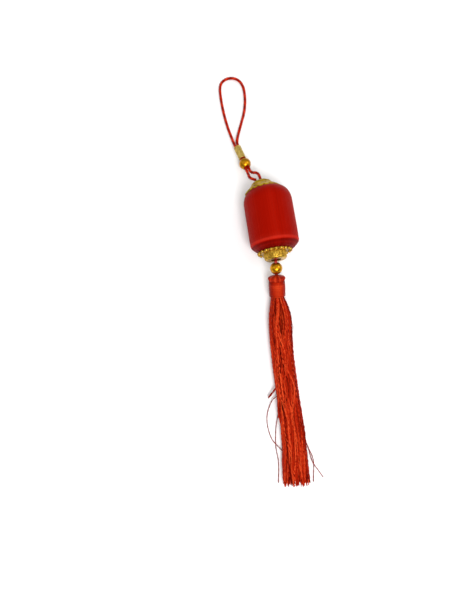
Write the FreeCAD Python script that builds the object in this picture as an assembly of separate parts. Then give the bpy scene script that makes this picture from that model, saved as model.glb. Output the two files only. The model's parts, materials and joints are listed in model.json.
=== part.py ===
import FreeCAD, Part
import math
import os

from FreeCAD import Placement, Rotation, Vector

# A small hanging charm in the shape of a red lantern, lying on a flat surface.
# Row frame: +Y runs along the lantern's axis towards its hanging loop, +Z is up, the floor is z = 0.
# Millimetres throughout.

# ---- barrel -------------------------------------------------------------------------------------
BARREL_RADIUS = 16.0            # over the thread
BARREL_LENGTH = 43.0            # end face to end face, over the thread
SHOULDER_DEPTH = 8.0            # how far each shoulder comes in from the side, as a quarter of an oval
TOP_SHOULDER_LENGTH = 10.0      # along the axis
BOTTOM_SHOULDER_LENGTH = 6.5
SHOULDER_STEPS = 10             # flats that make up a shoulder's curve
THREAD_LAYER = 0.6              # thickness of the wound thread
BARREL_WALL = 1.2
END_PLATE = 1.2
BORE_CLEARANCE = 0.37           # between the cord's tails and the returning thread
BORE_TUBE_WALL = 0.8

# ---- gilt top fittings, one cap that sits a little askew on the barrel's shoulder ---------------
TOP_CAP_SHIFT = -2.0            # sideways, the way the cord pulls
TOP_CAP_TILT = 5.0              # degrees, the left side lower
TOP_CAP_BITE = 0.1              # how deep the rim presses into the thread where it rests
TOP_RIM_RADIUS = 12.1           # over the edge lobes
TOP_FLANGE_HEIGHT = 3.7
TOP_FLANGE_WALL = 0.5
TOP_LOBES = 18
TOP_LOBE_RADIUS = 1.5
TOP_PIERCING_RADIUS = 0.75
TOP_PIERCING_CIRCLE = 9.6
TOP_SEAT_RADIUS = 7.4           # where the flange ends and the dome begins
TOP_SEAT_WIDTH = 1.0
DOME_BASE_RADIUS = 6.7          # behind the moulding round its foot
DOME_HEIGHT = 2.9
DOME_MOUTH_RADIUS = 4.2         # to the middle of the rolled rim
DOME_WALL = 0.6
DOME_MOULDING_RADIUS = 0.4
DOME_RIM_RADIUS = 0.45
DOME_STEPS = 8                  # flats that make up the dome's curve
ROLL_STEPS = 8                  # flats that make up its rim and its moulding

# ---- gilt bottom fittings -----------------------------------------------------------------------
BOTTOM_CAP_SHIFT = -0.9         # sideways, from the barrel's axis
BOTTOM_FLANGE_OVERHANG = 2.5    # from the end face's edge to the centres of the edge pearls
BOTTOM_FLANGE_THICKNESS = 0.7
BOTTOM_FLANGE_CUP = 0.45        # how far the rim leans towards the barrel
BOTTOM_PEARLS = 20
BOTTOM_PEARL_RADIUS = 1.05
BOTTOM_PIERCING_RADIUS = 0.7
BOTTOM_PIERCING_INSET = 1.6     # from the pearls' circle in to the piercings' circle
BOTTOM_PIERCING_REACH = 1.0     # beyond both faces, so that a piercing goes right through
COLLAR_RADIUS = 7.2             # at the flange, between the ribs
COLLAR_TAPER = 0.35
COLLAR_HEIGHT = 4.9
COLLAR_WALL = 0.7
COLLAR_RIBS = 30
COLLAR_RIB_RADIUS = 0.42
COLLAR_ROUND = 1.0
COLLAR_ROUND_STEPS = 5
COLLAR_MOUTH_RADIUS = 3.4

# ---- hanging cord and what slides on it ---------------------------------------------------------
CORD_DIAMETER = 2.0
STRAND_GAP = 0.06               # between the two strands, side by side
SLIDE_CLEARANCE = 0.07          # between the strands and what slides on them
CORD_PIVOT_LIFT = 1.3           # the strands bend this far beyond the dome's mouth
PIVOT_GAP = 0.2                 # between the strand ends and the stubs inside
MOUTH_CLEARANCE = 0.15          # between the outer strand and the dome's rim
EXIT_SPACING = 2.9              # between the strands' middles at the mouth
BEAD_RADIUS = 4.0
SLEEVE_LENGTH = 10.0
SLEEVE_WALL = 0.27
SLEEVE_BANDS = 4
SLEEVE_BAND_RADIUS = 0.22
SLEEVE_BEAD_GAP = 0.6
SLIDE_TRAVEL = 2.0              # of the bead towards the dome, and of the sleeve towards the loop
SLIDE_MARGIN = 0.3              # straight cord left over at the end of each slide
STEM_BEND_REACH = 2.2           # how much of each run the bends beside the straight stretch take up
ARC_SHARE = 0.45                # share of the shorter run that any other bend takes up
TAIL_SPREAD = 0.3               # extra room between the two tails in the bore
TAIL_STRAIGHT = 1.0             # straight stretch of the tails below the mouth
TAIL_BEND_LIFT = 0.8            # the tails turn into the bore this far beyond the end face

# The cord's route, point by point, chosen by hand: x from the lantern's axis, y beyond the dome's
# mouth, and the height above the floor, or for the two bends the drop below the axis.
LEFT_BEND = (-9.0, 3.6, 2.0)
RIGHT_BEND = (-2.3, 7.4, 2.6)
STEM_BEAD_CENTRE = (-9.6, 18.05, 5.5)
STEM_TOWARDS = (-12.8, 32.15, 2.6)
LOOP_LIFT = 0.1                 # under the loop, where it lies on the floor
LOOP_POINTS = (
    (-17.7, 51.7),
    (-18.7, 68.2),
    (-18.2, 81.1),
    (-13.2, 85.5),
    (-6.6, 85.4),
    (-2.0, 80.7),
    (-1.0, 72.2),
    (-3.0, 59.7),
    (-7.9, 48.5),
)

# ---- tassel -------------------------------------------------------------------------------------
TASSEL_PIVOT_X = -1.3
TASSEL_CORD_DIAMETER = 2.2
TASSEL_PIVOT_LIFT = 1.0         # the tassel's cord bends this far below the collar's mouth
TASSEL_CORD_SHOWING = 1.5       # between the collar's mouth and the bead
TASSEL_BEAD_RADIUS = 4.0
TASSEL_BEAD_CLEARANCE = 0.1
HEAD_GAP = 0.3                  # between the bead and the head, over the whole swing
HEAD_LENGTH = 4.0
HEAD_RADIUS = 5.7
HEAD_TOP_RADIUS = 3.8
HEAD_SHOULDER_START = -60       # degrees, where the round stretch of the head's shoulder begins
HEAD_SHOULDER_STEPS = 4
HEAD_WALL = 1.6
HEAD_HOLE_RADIUS = 1.3
BINDING_LENGTH = 10.2
BINDING_RADIUS = 5.4
BINDING_WALL = 0.5
HEAD_KNOT_RADIUS = 2.1
NECK_END_HEIGHT = 6.0           # the binding's lower end, above the floor
NECK_YAW = 4.0                  # degrees, how far the tassel's neck points sideways
CORD_KNOT_RADIUS = 2.6

# The skirt's centre line after the neck: x, y beyond the collar's mouth, half width, half height.
SKIRT_STATIONS = (
    (-3.2, 34.9, 7.8, 5.2),
    (-5.0, 50.9, 7.8, 4.7),
    (-6.5, 69.9, 7.6, 4.3),
    (-6.8, 89.9, 7.6, 4.0),
    (-7.9, 112.9, 8.0, 3.7),
    (-9.9, 143.9, 8.4, 3.3),
)
SKIRT_LIFT = 0.15               # under the skirt, so that it rests and doesn't sink

# ---- the row frame's origin, under the middle of the lantern and its tassel ---------------------
ORIGIN_X = -1.15
ORIGIN_Y = -71.671

SLIVER = 0.01                   # small step that keeps a cut from ending on a face

AXIS_HEIGHT = BARREL_RADIUS
HALF_LENGTH = BARREL_LENGTH / 2
END_RADIUS = BARREL_RADIUS - SHOULDER_DEPTH
CAP_HEIGHT = TOP_FLANGE_HEIGHT + DOME_HEIGHT
BOTTOM_FLANGE_RADIUS = END_RADIUS + BOTTOM_FLANGE_OVERHANG
BOTTOM_PIERCING_CIRCLE = BOTTOM_FLANGE_RADIUS - BOTTOM_PIERCING_INSET
BOTTOM_FLANGE_FACE = HALF_LENGTH + BOTTOM_FLANGE_THICKNESS
COLLAR_MOUTH = BOTTOM_FLANGE_FACE + COLLAR_HEIGHT
CORD_RADIUS = CORD_DIAMETER / 2
STRAND_OFFSET = CORD_RADIUS + STRAND_GAP / 2
PAIR_BORE_RADIUS = STRAND_OFFSET + CORD_RADIUS + SLIDE_CLEARANCE
TAIL_OFFSET = STRAND_OFFSET + TAIL_SPREAD
BOTTOM_HOLE_RADIUS = TAIL_OFFSET + CORD_RADIUS + SLIDE_CLEARANCE
BORE_RADIUS = abs(BOTTOM_CAP_SHIFT) + TAIL_OFFSET + CORD_RADIUS + BORE_CLEARANCE
UP = Vector(0, 0, 1)


def shoulder_height(radius, length):
    """How far from the barrel's middle a shoulder of the given length is, at a radius."""
    share = max(0.0, radius - END_RADIUS) / SHOULDER_DEPTH
    return HALF_LENGTH - length + length * math.sqrt(1 - share ** 2)


# The cap's rim touches the shoulder on the side that it is shifted away from.
flange_drop = TOP_FLANGE_WALL * math.sqrt(2)
cap_tilt = math.radians(TOP_CAP_TILT)
resting_radius = TOP_RIM_RADIUS * math.cos(cap_tilt) + TOP_CAP_SHIFT
cap_seat = (shoulder_height(resting_radius, TOP_SHOULDER_LENGTH) + flange_drop - TOP_CAP_BITE
            - TOP_RIM_RADIUS * math.sin(cap_tilt))
mouth_x = TOP_CAP_SHIFT - CAP_HEIGHT * math.sin(cap_tilt)
mouth_y = cap_seat + CAP_HEIGHT * math.cos(cap_tilt)

along_axis = Rotation(UP, Vector(0, 1, 0))
to_lantern = Placement(Vector(0, 0, AXIS_HEIGHT), along_axis)
to_cap = Placement(Vector(TOP_CAP_SHIFT, cap_seat, AXIS_HEIGHT),
                   Rotation(UP, TOP_CAP_TILT).multiply(along_axis))
to_bottom = Placement(Vector(BOTTOM_CAP_SHIFT, 0, AXIS_HEIGHT), Rotation(UP, Vector(0, -1, 0)))
to_origin = Placement(Vector(-ORIGIN_X, -ORIGIN_Y, 0), Rotation())

nodes = {}


def placed(shape, place):
    """A copy of a shape, moved by a placement."""
    moved = shape.copy()
    moved.Placement = place.multiply(moved.Placement)
    return moved


def add(name, shape, place=Placement()):
    """Keep a node's shape, put where it belongs in the row frame."""
    nodes[name] = placed(placed(shape, place), to_origin)


def revolve(outline):
    """Turn a closed outline of (radius, height) points about the Z axis into a solid."""
    points = [Vector(radius, 0, height) for radius, height in outline]
    face = Part.Face(Part.makePolygon(points + points[:1]))
    return face.revolve(Vector(0, 0, 0), UP, 360)


def tube(outer, inner, low, high):
    """A plain tube about the Z axis between two heights."""
    return revolve([(inner, low), (outer, low), (outer, high), (inner, high)])


def disc(radius, low, high, x=0.0, y=0.0):
    """A plain round plate whose axis is parallel to Z."""
    return Part.makeCylinder(radius, high - low, Vector(x, y, low))


def ring_places(count, radius, height=0.0, start=0.0):
    """Points evenly spaced on a circle about the Z axis."""
    places = []
    for index in range(count):
        angle = math.radians(start + 360 * index / count)
        places.append(Vector(radius * math.cos(angle), radius * math.sin(angle), height))
    return places


def arc_points(centre_r, centre_h, radius, start, end, steps):
    """Points of a round stretch of an outline, from one angle to another in degrees."""
    points = []
    for step in range(steps + 1):
        angle = math.radians(start + (end - start) * step / steps)
        points.append((centre_r + radius * math.cos(angle), centre_h + radius * math.sin(angle)))
    return points


# ---- barrel -------------------------------------------------------------------------------------
def shoulder_points(length, inset):
    """One shoulder from its side to its end face, inset by a wall: (radius, distance from the middle)."""
    points = []
    for step in range(SHOULDER_STEPS + 1):
        angle = math.radians(90 * step / SHOULDER_STEPS)
        radius = END_RADIUS + (SHOULDER_DEPTH - inset) * math.cos(angle)
        points.append((radius, HALF_LENGTH - length + (length - inset) * math.sin(angle)))
    return points


def barrel_body(inset, bore):
    """A solid barrel inset by a wall from the thread's surface, with a bore along its axis."""
    bottom = [(radius, -height) for radius, height in shoulder_points(BOTTOM_SHOULDER_LENGTH, inset)]
    top = shoulder_points(TOP_SHOULDER_LENGTH, inset)
    ends = [(bore, HALF_LENGTH - inset), (bore, inset - HALF_LENGTH)]
    return revolve(bottom[::-1] + top + ends)


def make_barrel():
    thread_bore = BORE_RADIUS + THREAD_LAYER
    tube_outer = thread_bore + BORE_TUBE_WALL
    skin = barrel_body(0.0, thread_bore)
    form = barrel_body(THREAD_LAYER, thread_bore)
    add("satin_winding", skin.cut(form), to_lantern)

    hollow = barrel_body(THREAD_LAYER + BARREL_WALL, tube_outer)
    form_face = HALF_LENGTH - THREAD_LAYER
    core = disc(END_RADIUS, -form_face - SLIVER, form_face + SLIVER)
    add("barrel_wall", form.cut(hollow).cut(core), to_lantern)
    add("bore_tube", tube(tube_outer, thread_bore, -form_face, form_face), to_lantern)
    for name, sign in (("top_end_plate", 1), ("bottom_end_plate", -1)):
        low, high = sorted((sign * form_face, sign * (form_face - END_PLATE)))
        add(name, tube(END_RADIUS, tube_outer, low, high), to_lantern)
    add("thread_return", tube(thread_bore, BORE_RADIUS, -HALF_LENGTH, HALF_LENGTH), to_lantern)
    return placed(barrel_body(0.0, BORE_RADIUS), to_lantern)


# ---- top fittings (heights run from the flange's rim along the cap's own axis) ------------------
def make_top_flange(barrel):
    seat_inner = TOP_SEAT_RADIUS - TOP_SEAT_WIDTH
    outline = [
        (TOP_RIM_RADIUS, -flange_drop),
        (TOP_RIM_RADIUS, 0),
        (TOP_SEAT_RADIUS, TOP_FLANGE_HEIGHT),
        (seat_inner, TOP_FLANGE_HEIGHT),
        (seat_inner, TOP_FLANGE_HEIGHT - flange_drop),
    ]
    lobe_circle = TOP_RIM_RADIUS - TOP_LOBE_RADIUS
    low, high = -flange_drop - SLIVER, TOP_FLANGE_HEIGHT + SLIVER
    edge = disc(lobe_circle, low, high)
    places = ring_places(TOP_LOBES, lobe_circle)
    lobes = [disc(TOP_LOBE_RADIUS, low, high, place.x, place.y) for place in places]
    edge = edge.multiFuse(lobes).removeSplitter()
    holes = []
    for place in ring_places(TOP_LOBES, TOP_PIERCING_CIRCLE):
        holes.append(disc(TOP_PIERCING_RADIUS, low, high, place.x, place.y))
    flange = revolve(outline).common(edge).cut(holes)
    add("top_flange", placed(flange, to_cap).cut(barrel))


def dome_curve(base, top_radius, low, high):
    """A quarter of an oval's lower part, from (base, low) in to (top_radius, high)."""
    mouth_angle = math.acos(top_radius / base)
    points = []
    for step in range(DOME_STEPS + 1):
        angle = mouth_angle * step / DOME_STEPS
        rise = math.sin(angle) / math.sin(mouth_angle)
        points.append((base * math.cos(angle), low + (high - low) * rise))
    return points


def make_top_dome():
    foot = TOP_FLANGE_HEIGHT
    roll_height = CAP_HEIGHT - DOME_RIM_RADIUS
    outer_mouth = DOME_MOUTH_RADIUS + DOME_RIM_RADIUS
    moulding_top = foot + 2 * DOME_MOULDING_RADIUS
    moulding_height = foot + DOME_MOULDING_RADIUS
    outline = arc_points(DOME_BASE_RADIUS, moulding_height, DOME_MOULDING_RADIUS, -90, 90, ROLL_STEPS)
    outline += dome_curve(DOME_BASE_RADIUS, outer_mouth, moulding_top, roll_height)[1:-1]
    outline += arc_points(DOME_MOUTH_RADIUS, roll_height, DOME_RIM_RADIUS, 0, 180, ROLL_STEPS)
    inner = dome_curve(DOME_BASE_RADIUS - DOME_WALL, outer_mouth - DOME_WALL, foot, roll_height - DOME_WALL)
    outline += [(DOME_MOUTH_RADIUS - DOME_RIM_RADIUS, roll_height - DOME_WALL)] + inner[::-1]
    add("top_dome", revolve(outline), to_cap)


# ---- bottom fittings (heights run away from the barrel's middle) --------------------------------
def make_bottom_flange(barrel):
    rim_low = HALF_LENGTH - BOTTOM_FLANGE_CUP
    flat_radius = COLLAR_RADIUS + COLLAR_RIB_RADIUS
    rim_high = rim_low + BOTTOM_FLANGE_THICKNESS
    outline = [
        (BOTTOM_HOLE_RADIUS, HALF_LENGTH),
        (END_RADIUS, HALF_LENGTH),
        (BOTTOM_FLANGE_RADIUS, rim_low + BOTTOM_FLANGE_THICKNESS / 2),
        (BOTTOM_FLANGE_RADIUS, rim_high),
        (flat_radius, BOTTOM_FLANGE_FACE),
        (BOTTOM_HOLE_RADIUS, BOTTOM_FLANGE_FACE),
    ]
    pearls = []
    for place in ring_places(BOTTOM_PEARLS, BOTTOM_FLANGE_RADIUS, rim_high):
        pearls.append(Part.makeSphere(BOTTOM_PEARL_RADIUS, place))
    holes = []
    low = rim_low - BOTTOM_PIERCING_REACH
    high = BOTTOM_FLANGE_FACE + BOTTOM_PIERCING_REACH
    for place in ring_places(BOTTOM_PEARLS, BOTTOM_PIERCING_CIRCLE, start=180 / BOTTOM_PEARLS):
        holes.append(disc(BOTTOM_PIERCING_RADIUS, low, high, place.x, place.y))
    flange = revolve(outline).cut(holes).multiFuse(pearls)
    add("bottom_flange", placed(flange, to_bottom).cut(barrel))


def make_bottom_collar():
    end_radius = COLLAR_RADIUS - COLLAR_TAPER
    low = BOTTOM_FLANGE_FACE
    high = COLLAR_MOUTH
    inner_radius = COLLAR_RADIUS - COLLAR_WALL
    inner_end = end_radius - COLLAR_WALL
    outline = [(inner_radius, low), (COLLAR_RADIUS, low)]
    round_radius = end_radius - COLLAR_ROUND
    outline += arc_points(round_radius, high - COLLAR_ROUND, COLLAR_ROUND, 0, 90, COLLAR_ROUND_STEPS)
    outline += [
        (COLLAR_MOUTH_RADIUS, high),
        (COLLAR_MOUTH_RADIUS, high - COLLAR_WALL),
        (inner_end - COLLAR_ROUND, high - COLLAR_WALL),
        (inner_end, high - COLLAR_WALL - COLLAR_ROUND),
    ]
    ribs = []
    for place in ring_places(COLLAR_RIBS, COLLAR_RADIUS, low):
        top = Vector(place.x, place.y, 0).normalize().multiply(end_radius)
        top.z = high - COLLAR_ROUND
        axis = top.sub(place)
        ribs.append(Part.makeCylinder(COLLAR_RIB_RADIUS, axis.Length, place, axis))
    above_flange = disc(BOTTOM_FLANGE_RADIUS, low, high)
    add("bottom_collar", revolve(outline).multiFuse(ribs).common(above_flange), to_bottom)


# ---- cords --------------------------------------------------------------------------------------
def rounded_path(points, reaches=None):
    """Straight runs joined by tangent arcs.

    An arc takes ARC_SHARE of the shorter run beside it, or the stated reach where reaches gives one
    for its corner.
    """
    reaches = reaches or {}
    edges = []
    radii = []
    start = points[0]
    for index in range(1, len(points) - 1):
        before, corner, after = points[index - 1], points[index], points[index + 1]
        run_in = corner.sub(before)
        run_out = after.sub(corner)
        turn = run_in.getAngle(run_out)
        reach = reaches.get(index, ARC_SHARE * min(run_in.Length, run_out.Length))
        radii.append(reach / math.tan(turn / 2))
        direction_in = Vector(run_in).normalize()
        direction_out = Vector(run_out).normalize()
        arc_start = corner - direction_in * reach
        arc_end = corner + direction_out * reach
        inward = (direction_out - direction_in).normalize()
        centre = corner + inward * (radii[-1] / math.cos(turn / 2))
        middle = centre - inward * radii[-1]
        edges.append(Part.LineSegment(start, arc_start).toShape())
        edges.append(Part.Arc(arc_start, middle, arc_end).toShape())
        start = arc_end
    edges.append(Part.LineSegment(start, points[-1]).toShape())
    return Part.Wire(edges), radii


def cord_tube(points, diameter, reaches=None):
    """A round cord along a path of straight runs and tangent arcs."""
    path, radii = rounded_path(points, reaches)
    heading = points[1].sub(points[0])
    circle = Part.Wire(Part.makeCircle(diameter / 2, points[0], heading))
    solid = path.makePipeShell([circle], True, False)
    return solid, path, radii


def beyond_mouth(x, y, height):
    """A point of the cord's route, with y measured beyond the dome's mouth."""
    return Vector(x, mouth_y + y, height)


stem_start = beyond_mouth(*STEM_BEAD_CENTRE)
stem_direction = (beyond_mouth(*STEM_TOWARDS) - stem_start).normalize()
stem_side = stem_direction.cross(UP).normalize()
sleeve_start = BEAD_RADIUS + SLEEVE_BEAD_GAP
stem_low = -(BEAD_RADIUS + SLIDE_TRAVEL + SLIDE_MARGIN + STEM_BEND_REACH)
stem_high = sleeve_start + SLEEVE_LENGTH + SLIDE_TRAVEL + SLIDE_MARGIN + STEM_BEND_REACH

left_exit_x = mouth_x - (DOME_MOUTH_RADIUS - DOME_RIM_RADIUS - CORD_RADIUS - MOUTH_CLEARANCE)
EXITS = (left_exit_x, left_exit_x + EXIT_SPACING)


def on_stem(along, side):
    """A point beside the doubled cord's middle line, by its distance from the bead's centre."""
    return stem_start + stem_direction * along + stem_side * side


def make_hanging_cord():
    left_exit, right_exit = [beyond_mouth(x, CORD_PIVOT_LIFT, AXIS_HEIGHT) for x in EXITS]
    bends = (LEFT_BEND, RIGHT_BEND)
    left_bend, right_bend = [beyond_mouth(x, y, AXIS_HEIGHT - drop) for x, y, drop in bends]
    route = [left_exit, left_bend, on_stem(stem_low, -STRAND_OFFSET), on_stem(stem_high, -STRAND_OFFSET)]
    route += [beyond_mouth(x, y, CORD_RADIUS + LOOP_LIFT) for x, y in LOOP_POINTS]
    route += [on_stem(stem_high, STRAND_OFFSET), on_stem(stem_low, STRAND_OFFSET), right_bend, right_exit]
    last = len(route) - 1
    stem_corners = (2, 3, last - 3, last - 2)
    reaches = {corner: STEM_BEND_REACH for corner in stem_corners}
    solid, path, radii = cord_tube(route, CORD_DIAMETER, reaches)
    ends = [Part.makeSphere(CORD_RADIUS, left_exit), Part.makeSphere(CORD_RADIUS, right_exit)]
    print("cord length", round(path.Length, 1), "radii", [round(radius, 1) for radius in radii])
    print("tube volume", round(solid.Volume, 1), "section x length",
          round(math.pi * CORD_RADIUS ** 2 * path.Length, 1))
    for point in route:
        moved = point.sub(Vector(ORIGIN_X, ORIGIN_Y, 0))
        print("route point", round(moved.x, 2), round(moved.y, 2), round(moved.z, 2))
    add("hanging_cord", solid.multiFuse(ends))


def make_loop_pieces():
    along_stem = Placement(stem_start, Rotation(UP, stem_direction))
    bead = Part.makeSphere(BEAD_RADIUS)
    bead = bead.cut(disc(PAIR_BORE_RADIUS, -BEAD_RADIUS, BEAD_RADIUS))
    add("cord_bead", bead, along_stem)
    outer = PAIR_BORE_RADIUS + SLEEVE_WALL
    sleeve = tube(outer, PAIR_BORE_RADIUS, sleeve_start, sleeve_start + SLEEVE_LENGTH)
    bands = []
    for index in range(SLEEVE_BANDS):
        share = index / (SLEEVE_BANDS - 1)
        height = sleeve_start + SLEEVE_BAND_RADIUS + share * (SLEEVE_LENGTH - 2 * SLEEVE_BAND_RADIUS)
        centre = Vector(0, 0, height)
        bands.append(Part.makeTorus(outer - SLEEVE_BAND_RADIUS / 2, SLEEVE_BAND_RADIUS, centre))
    add("cord_sleeve", sleeve.multiFuse(bands), along_stem)


def make_inner_strands():
    """The cord's two tails inside the dome and the bore, down to the knot that holds them."""
    top = mouth_y + CORD_PIVOT_LIFT - CORD_RADIUS - PIVOT_GAP
    knot_end = COLLAR_MOUTH + TASSEL_PIVOT_LIFT - TASSEL_CORD_DIAMETER / 2 - PIVOT_GAP
    knot_height = knot_end - CORD_KNOT_RADIUS
    strands = []
    for exit_x, sign in zip(EXITS, (-1, 1)):
        inside_x = BOTTOM_CAP_SHIFT + sign * TAIL_OFFSET
        route = [
            Vector(exit_x, top, AXIS_HEIGHT),
            Vector(exit_x, top - TAIL_STRAIGHT, AXIS_HEIGHT),
            Vector(inside_x, HALF_LENGTH + TAIL_BEND_LIFT, AXIS_HEIGHT),
            Vector(inside_x, -knot_height, AXIS_HEIGHT),
        ]
        strands.append(cord_tube(route, CORD_DIAMETER)[0])
    knot = placed(Part.makeSphere(CORD_KNOT_RADIUS, Vector(0, 0, knot_height)), to_bottom)
    tails = [strand.cut(knot) for strand in strands]
    add("cord_tails", Part.makeCompound(tails))
    add("cord_knot", knot)


# ---- tassel -------------------------------------------------------------------------------------
bead_centre = TASSEL_CORD_SHOWING + TASSEL_BEAD_RADIUS - TASSEL_PIVOT_LIFT
head_top = bead_centre + TASSEL_BEAD_RADIUS + HEAD_GAP
head_end = head_top + HEAD_LENGTH
binding_end = head_end + BINDING_LENGTH
droop = math.asin((AXIS_HEIGHT - NECK_END_HEIGHT) / binding_end)
yaw = math.radians(NECK_YAW)
neck_direction = Vector(-math.sin(yaw) * math.cos(droop), -math.cos(yaw) * math.cos(droop), -math.sin(droop))
tassel_pivot = Vector(TASSEL_PIVOT_X, -(COLLAR_MOUTH + TASSEL_PIVOT_LIFT), AXIS_HEIGHT)
to_tassel = Placement(tassel_pivot, Rotation(UP, neck_direction))


def make_tassel_link():
    cord_radius = TASSEL_CORD_DIAMETER / 2
    bore = cord_radius + TASSEL_BEAD_CLEARANCE
    bead = Part.makeSphere(TASSEL_BEAD_RADIUS, Vector(0, 0, bead_centre))
    bead_low = bead_centre - TASSEL_BEAD_RADIUS
    bead_high = bead_centre + TASSEL_BEAD_RADIUS
    add("tassel_bead", bead.cut(disc(bore, bead_low, bead_high)), to_tassel)
    cord = disc(cord_radius, 0, bead_high - TASSEL_BEAD_CLEARANCE)
    cord = cord.fuse(Part.makeSphere(cord_radius))
    add("tassel_cord", cord, to_tassel)


def make_tassel_head():
    bulge = HEAD_LENGTH / 2
    inner = HEAD_RADIUS - HEAD_WALL
    outline = [(HEAD_HOLE_RADIUS, head_top), (HEAD_TOP_RADIUS, head_top)]
    outline += arc_points(HEAD_TOP_RADIUS, head_top + bulge, bulge,
                          HEAD_SHOULDER_START, 0, HEAD_SHOULDER_STEPS)
    outline += [
        (HEAD_RADIUS + SLIVER, head_top + bulge + SLIVER),
        (BINDING_RADIUS, head_end),
        (inner, head_end),
        (inner, head_top + HEAD_WALL),
        (HEAD_HOLE_RADIUS, head_top + HEAD_WALL),
    ]
    add("tassel_head", revolve(outline), to_tassel)
    knot_centre = head_top + HEAD_WALL + HEAD_KNOT_RADIUS
    knot = Part.makeSphere(HEAD_KNOT_RADIUS, Vector(0, 0, knot_centre))
    core = disc(BINDING_RADIUS - BINDING_WALL, head_end, binding_end)
    add("head_knot", knot, to_tassel)
    add("neck_threads", core.cut(knot), to_tassel)
    binding = tube(BINDING_RADIUS, BINDING_RADIUS - BINDING_WALL, head_end, binding_end)
    add("tassel_binding", binding, to_tassel)


def ellipse_wire(centre, half_width, half_height):
    """An upright ellipse across the skirt, facing along Y."""
    rotation = Rotation(Vector(1, 0, 0), 90)
    curve = Part.Ellipse(Vector(0, 0, 0), half_width, half_height)
    wire = Part.Wire(curve.toShape())
    wire.Placement = Placement(centre, rotation)
    return wire


def make_tassel_skirt():
    start = Part.Wire(Part.makeCircle(BINDING_RADIUS - BINDING_WALL, Vector(0, 0, binding_end)))
    start.Placement = to_tassel
    sections = [start]
    for x, y, half_width, half_height in SKIRT_STATIONS:
        centre = Vector(x, -(COLLAR_MOUTH + y), half_height + SKIRT_LIFT)
        sections.append(ellipse_wire(centre, half_width, half_height))
    skirt = Part.makeLoft(sections, True, True)
    neck = placed(disc(BINDING_RADIUS + SLIVER, head_end, binding_end), to_tassel)
    add("tassel_skirt", skirt.cut(neck))


barrel = make_barrel()
make_top_flange(barrel)
make_top_dome()
make_bottom_flange(barrel)
make_bottom_collar()
make_hanging_cord()
make_loop_pieces()
make_inner_strands()
make_tassel_link()
make_tassel_head()
make_tassel_skirt()

os.makedirs("parts", exist_ok=True)
for name, shape in nodes.items():
    shape.exportStep("parts/" + name + ".step")
    box = shape.BoundBox
    print(name, len(shape.Solids), shape.isValid(), round(shape.Volume, 1),
          [round(value, 2) for value in (box.XMin, box.YMin, box.ZMin, box.XMax, box.YMax, box.ZMax)])
print("loop pivot", round(-ORIGIN_X, 3), round(mouth_y + CORD_PIVOT_LIFT - ORIGIN_Y, 3), AXIS_HEIGHT)
print("tassel pivot", [round(value, 3) for value in tassel_pivot.sub(Vector(ORIGIN_X, ORIGIN_Y, 0))])
bead_place = tassel_pivot + neck_direction * bead_centre - Vector(ORIGIN_X, ORIGIN_Y, 0)
print("tassel bead centre", [round(value, 3) for value in bead_place])
print("droop", round(math.degrees(droop), 2))
print("stem direction", [round(value, 4) for value in stem_direction])
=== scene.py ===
import json
import math

import bpy
import numpy as np
from bpy.props import FloatProperty, FloatVectorProperty, IntProperty, PointerProperty
from bpy.types import Operator, Panel, PropertyGroup
from mathutils import Matrix, Vector


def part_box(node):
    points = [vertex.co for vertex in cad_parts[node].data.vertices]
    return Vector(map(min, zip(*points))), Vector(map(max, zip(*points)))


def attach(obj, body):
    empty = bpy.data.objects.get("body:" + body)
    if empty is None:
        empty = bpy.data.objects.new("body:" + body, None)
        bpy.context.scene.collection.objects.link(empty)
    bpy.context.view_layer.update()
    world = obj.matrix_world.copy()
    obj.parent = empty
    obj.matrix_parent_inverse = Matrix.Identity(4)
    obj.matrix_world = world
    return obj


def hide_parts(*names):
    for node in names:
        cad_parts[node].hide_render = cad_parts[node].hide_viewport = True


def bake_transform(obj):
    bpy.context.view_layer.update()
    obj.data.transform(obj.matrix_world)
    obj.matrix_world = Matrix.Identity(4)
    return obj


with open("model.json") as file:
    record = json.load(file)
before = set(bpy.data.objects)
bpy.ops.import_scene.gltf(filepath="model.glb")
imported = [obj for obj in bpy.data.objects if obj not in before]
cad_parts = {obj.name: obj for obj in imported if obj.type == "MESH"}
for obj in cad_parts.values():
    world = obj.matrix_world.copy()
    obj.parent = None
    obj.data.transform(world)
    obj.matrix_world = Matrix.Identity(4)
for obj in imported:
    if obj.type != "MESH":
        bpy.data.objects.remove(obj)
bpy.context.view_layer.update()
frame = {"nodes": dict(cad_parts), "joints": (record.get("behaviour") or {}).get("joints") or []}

bl_info = {
    "name": "Lantern Charm",
    "version": (1, 0, 0),
    "blender": (4, 5, 0),
    "location": "3D View > Sidebar > Lantern",
    "description": "Builds a thread-wound lantern charm with gilt caps, a beaded hanging loop and a tassel",
    "category": "Object",
}

TURN = 2 * math.pi
UP = np.array([0.0, 0.0, 1.0])

WINDING_LOW, WINDING_HIGH = (np.array(corner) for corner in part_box("satin_winding"))
BARREL_MIDDLE = (WINDING_LOW + WINDING_HIGH) / 2
BARREL_RADIUS = float(WINDING_HIGH[2] - WINDING_LOW[2]) / 2
BARREL_HALF = float(WINDING_HIGH[1] - WINDING_LOW[1]) / 2
GROUND = np.array([BARREL_MIDDLE[0], BARREL_MIDDLE[1], 0.0])
JOINTS = {joint["name"]: joint for joint in frame["joints"]}
TASSEL_PIVOT = np.array(JOINTS["tassel_swing"]["pos_m"])
TASSEL_BEAD = np.array(JOINTS["tassel_side_swing"]["pos_m"])
STEM_DIRECTION = np.array(JOINTS["sleeve_slide"]["axis"])
NECK_DIRECTION = (TASSEL_BEAD - TASSEL_PIVOT) / np.linalg.norm(TASSEL_BEAD - TASSEL_PIVOT)


def middle(node):
    """The middle of a CAD node's box."""
    low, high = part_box(node)
    return (np.array(low) + np.array(high)) / 2


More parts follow.
